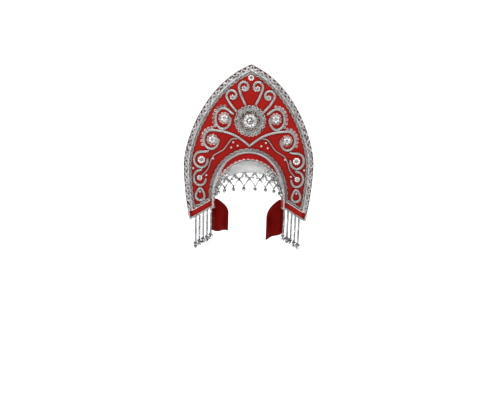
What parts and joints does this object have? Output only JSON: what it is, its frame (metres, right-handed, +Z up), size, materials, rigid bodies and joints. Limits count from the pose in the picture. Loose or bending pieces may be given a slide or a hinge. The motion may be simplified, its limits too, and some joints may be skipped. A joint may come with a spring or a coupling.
{
  "type": "kokoshnik headdress",
  "caption": "Pointed red satin crest with silver braid and scrolls, a headband, a beaded forehead net, hanging bead strands and satin ribbons.",
  "frame": {"origin": "the crown of the wearer's head, under the top of the headband, on the middle plane", "axes": "+Z up along the wearer's head, +X to the wearer's left as seen from the front, the wearer faces -Y"},
  "size_m": [0.279, 0.1181, 0.3965],
  "materials": {
    "red_satin": "bright red satin-faced cloth, softly matt",
    "ribbon_satin": "deep red satin ribbon",
    "silver_braid": "plaited silver metallic thread",
    "silver_gimp": "looped grey-silver metallic thread",
    "silver_cord": "bright silver cord",
    "crystal": "foiled clear cut stones in silver settings",
    "net_beads": "small silvery pearl beads",
    "chrome_beads": "faceted metallised beads"
  },
  "bodies": {
    "root": {"arch_braid": "silver_braid", "band_edging": "silver_braid", "border_gimp": "silver_gimp", "crest": "red_satin", "drop_loop_left": "silver_cord", "drop_loop_right": "silver_cord", "edge_braid": "silver_braid", "headband": "red_satin", "lobe_edging_left": "silver_braid", "lobe_edging_right": "silver_braid", "long_scroll": "silver_cord", "lower_rosette_left": "crystal", "lower_rosette_right": "crystal", "lower_scroll_left": "silver_cord", "lower_scroll_right": "silver_cord", "medallion": "silver_gimp", "middle_rosette_left": "crystal", "middle_rosette_right": "crystal", "net": "net_beads", "net_bead_01": "chrome_beads", "net_bead_02": "chrome_beads", "net_bead_03": "chrome_beads", "net_bead_04": "chrome_beads", "net_bead_05": "chrome_beads", "net_bead_06": "chrome_beads", "net_bead_07": "chrome_beads", "net_bead_08": "chrome_beads", "net_bead_09": "chrome_beads", "net_bead_10": "chrome_beads", "ribbon_left": "ribbon_satin", "ribbon_right": "ribbon_satin", "rim_cord": "silver_cord", "side_scroll_left": "silver_cord", "side_scroll_right": "silver_cord", "strand_left_1": "chrome_beads", "strand_left_2": "chrome_beads", "strand_left_3": "chrome_beads", "strand_left_4": "chrome_beads", "strand_left_5": "chrome_beads", "strand_right_1": "chrome_beads", "strand_right_2": "chrome_beads", "strand_right_3": "chrome_beads", "strand_right_4": "chrome_beads", "strand_right_5": "chrome_beads", "tail_scroll_left": "silver_cord", "tail_scroll_right": "silver_cord", "top_scroll_left": "silver_cord", "top_scroll_right": "silver_cord", "top_stone": "crystal", "upper_rosette_left": "crystal", "upper_rosette_right": "crystal", "upper_scroll_left": "silver_cord", "upper_scroll_right": "silver_cord", "vine_left": "silver_cord", "vine_right": "silver_cord"}
  },
  "joints": []
}
